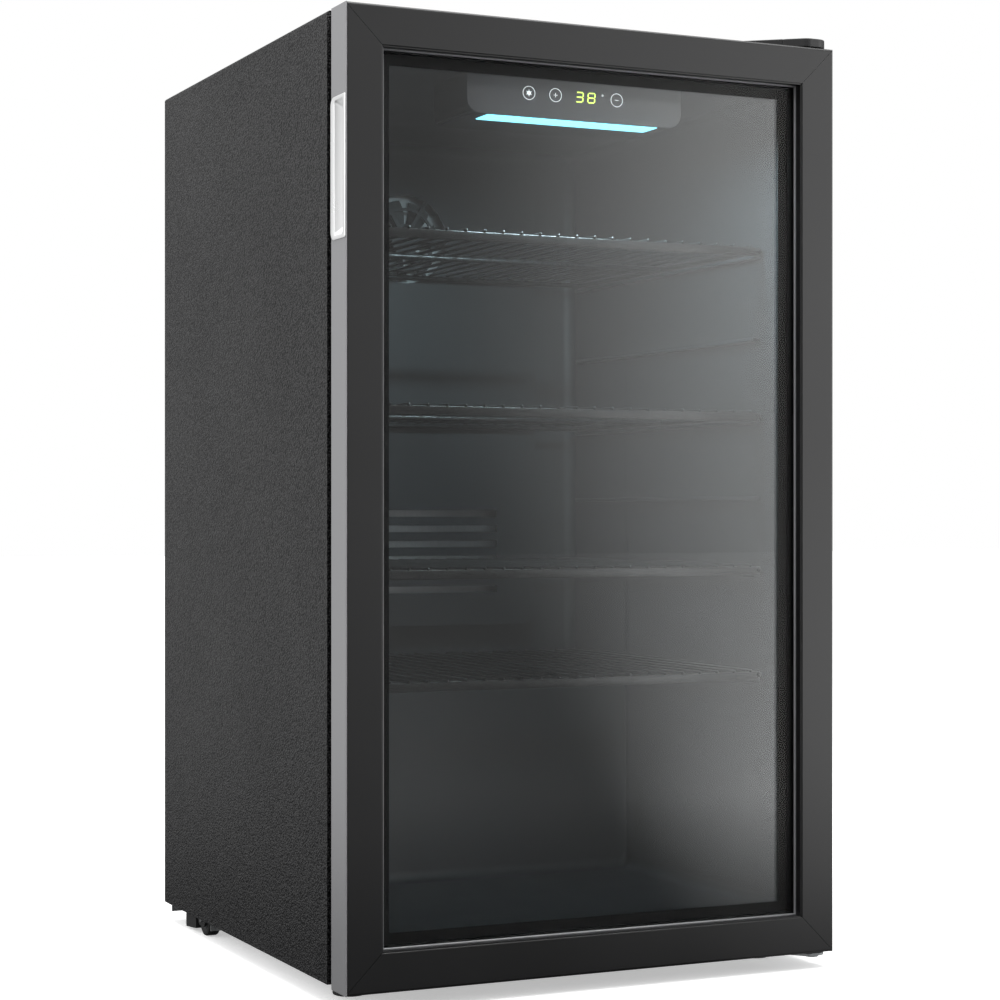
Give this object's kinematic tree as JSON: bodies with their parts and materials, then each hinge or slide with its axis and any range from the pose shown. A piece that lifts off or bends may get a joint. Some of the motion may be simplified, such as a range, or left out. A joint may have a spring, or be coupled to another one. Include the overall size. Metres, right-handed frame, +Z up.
{
  "type": "glass-door mini fridge",
  "caption": "Under-counter beverage fridge with a mitred black frame, recessed side pull, wire shelves, touch controls, blue lamp and compressor base.",
  "frame": {"origin": "on the floor under the middle of the fridge's bounding box", "axes": "+X to the hinge side seen from the front, the door faces -Y, +Z up"},
  "size_m": [0.48, 0.508, 0.8515],
  "materials": {
    "coated_steel": "black pebble-textured coating",
    "door_profile": "satin black anodised",
    "side_trim": "satin grey",
    "pull_metal": "bright satin",
    "door_glass": "clear float",
    "spacer": "black",
    "dark_plastic": "fine moulded texture",
    "liner_plastic": "vacuum-formed satin",
    "control_panel": "smooth touch panel",
    "lamp_lens": "frosted, lit",
    "circuit_board": "solder mask",
    "foam": "expanded polyurethane",
    "seal_rubber": "soft matte",
    "roller_rubber": "matte",
    "shelf_wire": "black powder coat",
    "zinc_steel": "galvanised",
    "evaporator_aluminium": "mill finish",
    "copper": "drawn copper tube",
    "machine_black": "semi-gloss enamel"
  },
  "bodies": {
    "cabinet": {"outer_shell": "coated_steel", "back_panel": "coated_steel", "front_rail": "coated_steel", "base_panel": "zinc_steel", "liner_left": "liner_plastic", "liner_right": "liner_plastic", "liner_ceiling": "liner_plastic", "liner_floor": "liner_plastic", "liner_back": "liner_plastic", "foam_insulation": "foam", "control_fascia": "control_panel", "control_housing": "dark_plastic", "led_lens": "lamp_lens", "led_board": "circuit_board", "duct_cover": "liner_plastic", "fan_motor": "machine_black", "evaporator_plate": "evaporator_aluminium", "compressor_tray": "zinc_steel", "compressor": "machine_black", "relay_cover": "dark_plastic", "drip_pan": "dark_plastic", "cord_gland": "dark_plastic", "filter_drier": "copper", "discharge_pipe": "copper", "suction_pipe": "copper", "bay_cover": "coated_steel", "roller_bracket_left": "dark_plastic", "roller_bracket_right": "dark_plastic", "roller_axle_left": "zinc_steel", "roller_axle_right": "zinc_steel", "hinge_bracket_top": "zinc_steel", "hinge_pin_top": "zinc_steel", "hinge_screw_1": "zinc_steel", "hinge_screw_2": "zinc_steel", "hinge_cover": "dark_plastic", "hinge_cover_cap": "dark_plastic", "hinge_bracket_bottom": "zinc_steel", "hinge_pin_bottom": "zinc_steel"},
    "door": {"door_frame_top": "door_profile", "door_frame_bottom": "door_profile", "door_frame_left": "door_profile", "door_frame_right": "door_profile", "hinge_bush_top": "dark_plastic", "hinge_bush_bottom": "dark_plastic", "side_trim": "side_trim", "pull_handle": "pull_metal", "front_glass": "door_glass", "glass_spacer": "spacer", "rear_glass": "door_glass", "inner_frame": "dark_plastic", "gasket": "seal_rubber"},
    "shelf_1": {"shelf_1": "shelf_wire"},
    "shelf_2": {"shelf_2": "shelf_wire"},
    "shelf_3": {"shelf_3": "shelf_wire"},
    "shelf_4": {"shelf_4": "shelf_wire"},
    "fan": {"fan_blades": "dark_plastic"},
    "roller_left": {"roller_left": "roller_rubber"},
    "foot_left": {"foot_left": "dark_plastic"},
    "roller_right": {"roller_right": "roller_rubber"},
    "foot_right": {"foot_right": "dark_plastic"}
  },
  "joints": [
    {"name": "door_hinge", "type": "hinge", "parent": "cabinet", "child": "door", "pos_m": [0.227, -0.237, 0.43], "axis": [0, 0, 1], "range_deg": [0, 120]},
    {"name": "shelf_1_slide", "type": "slide", "parent": "cabinet", "child": "shelf_1", "axis": [0, -1, 0], "range_m": [0, 0.028]},
    {"name": "shelf_2_slide", "type": "slide", "parent": "cabinet", "child": "shelf_2", "axis": [0, -1, 0], "range_m": [0, 0.028]},
    {"name": "shelf_3_slide", "type": "slide", "parent": "cabinet", "child": "shelf_3", "axis": [0, -1, 0], "range_m": [0, 0.028]},
    {"name": "shelf_4_slide", "type": "slide", "parent": "cabinet", "child": "shelf_4", "axis": [0, -1, 0], "range_m": [0, 0.028]},
    {"name": "fan_spin", "type": "hinge", "parent": "cabinet", "child": "fan", "pos_m": [0, 0.201, 0.703], "axis": [0, 1, 0], "continuous": true},
    {"name": "roller_left_spin", "type": "hinge", "parent": "cabinet", "child": "roller_left", "pos_m": [-0.226, 0.147, 0.016], "axis": [1, 0, 0], "continuous": true},
    {"name": "foot_left_turn", "type": "hinge", "parent": "cabinet", "child": "foot_left", "pos_m": [-0.204, -0.173, 0], "axis": [0, 0, 1], "continuous": true},
    {"name": "roller_right_spin", "type": "hinge", "parent": "cabinet", "child": "roller_right", "pos_m": [0.226, 0.147, 0.016], "axis": [1, 0, 0], "continuous": true},
    {"name": "foot_right_turn", "type": "hinge", "parent": "cabinet", "child": "foot_right", "pos_m": [0.204, -0.173, 0], "axis": [0, 0, 1], "continuous": true}
  ]
}
